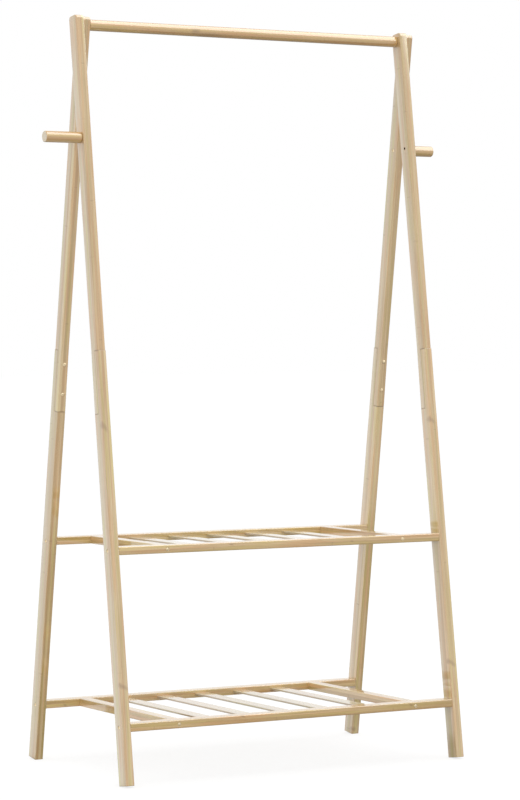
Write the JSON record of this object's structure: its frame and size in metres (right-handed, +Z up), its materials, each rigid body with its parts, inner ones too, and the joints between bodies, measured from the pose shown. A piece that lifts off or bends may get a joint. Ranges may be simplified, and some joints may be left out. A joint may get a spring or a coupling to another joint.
{
  "type": "clothes rack",
  "caption": "Freestanding bamboo clothes rack: A-shaped end frames joined by a round hanging rod, with coat pegs outside and slatted shelves for shoes and boxes below.",
  "frame": {"origin": "on the floor, under the middle of the rack", "axes": "+Z up, +X along the hanging rod to the right, -Y to the front"},
  "size_m": [1.0232, 0.4936, 1.6049],
  "materials": {
    "leg_bamboo": "clear satin lacquer on laminated bamboo, lengthwise strips",
    "rail_bamboo": "clear satin lacquer on laminated bamboo",
    "slat_bamboo": "clear satin lacquer on thin bamboo strips",
    "round_bamboo": "clear satin lacquer on turned bamboo",
    "bolt_steel": "yellow zinc plated heads with a hexagon socket"
  },
  "bodies": {
    "root": {"left_front_leg_upper": "leg_bamboo", "left_front_leg_lower": "leg_bamboo", "left_front_lap_bolt_1": "bolt_steel", "left_front_lap_bolt_2": "bolt_steel", "upper_shelf_left_front_bolt": "bolt_steel", "lower_shelf_left_front_bolt": "bolt_steel", "left_rear_leg_upper": "leg_bamboo", "left_rear_leg_lower": "leg_bamboo", "left_rear_lap_bolt_1": "bolt_steel", "left_rear_lap_bolt_2": "bolt_steel", "upper_shelf_left_rear_bolt": "bolt_steel", "lower_shelf_left_rear_bolt": "bolt_steel", "left_peg": "round_bamboo", "left_peg_screw": "bolt_steel", "left_rod_bolt": "bolt_steel", "right_front_leg_upper": "leg_bamboo", "right_front_leg_lower": "leg_bamboo", "right_front_lap_bolt_1": "bolt_steel", "right_front_lap_bolt_2": "bolt_steel", "upper_shelf_right_front_bolt": "bolt_steel", "lower_shelf_right_front_bolt": "bolt_steel", "right_rear_leg_upper": "leg_bamboo", "right_rear_leg_lower": "leg_bamboo", "right_rear_lap_bolt_1": "bolt_steel", "right_rear_lap_bolt_2": "bolt_steel", "upper_shelf_right_rear_bolt": "bolt_steel", "lower_shelf_right_rear_bolt": "bolt_steel", "right_peg": "round_bamboo", "right_peg_screw": "bolt_steel", "right_rod_bolt": "bolt_steel", "hanging_rod": "round_bamboo", "upper_shelf_front_rail": "rail_bamboo", "upper_shelf_rear_rail": "rail_bamboo", "upper_shelf_slat_1": "slat_bamboo", "upper_shelf_slat_2": "slat_bamboo", "upper_shelf_slat_3": "slat_bamboo", "upper_shelf_slat_4": "slat_bamboo", "upper_shelf_slat_5": "slat_bamboo", "upper_shelf_left_crossbar": "rail_bamboo", "upper_shelf_left_front_screw": "bolt_steel", "upper_shelf_left_rear_screw": "bolt_steel", "upper_shelf_right_crossbar": "rail_bamboo", "upper_shelf_right_front_screw": "bolt_steel", "upper_shelf_right_rear_screw": "bolt_steel", "lower_shelf_front_rail": "rail_bamboo", "lower_shelf_rear_rail": "rail_bamboo", "lower_shelf_slat_1": "slat_bamboo", "lower_shelf_slat_2": "slat_bamboo", "lower_shelf_slat_3": "slat_bamboo", "lower_shelf_slat_4": "slat_bamboo", "lower_shelf_slat_5": "slat_bamboo", "lower_shelf_left_crossbar": "rail_bamboo", "lower_shelf_left_front_screw": "bolt_steel", "lower_shelf_left_rear_screw": "bolt_steel", "lower_shelf_right_crossbar": "rail_bamboo", "lower_shelf_right_front_screw": "bolt_steel", "lower_shelf_right_rear_screw": "bolt_steel"}
  },
  "joints": []
}
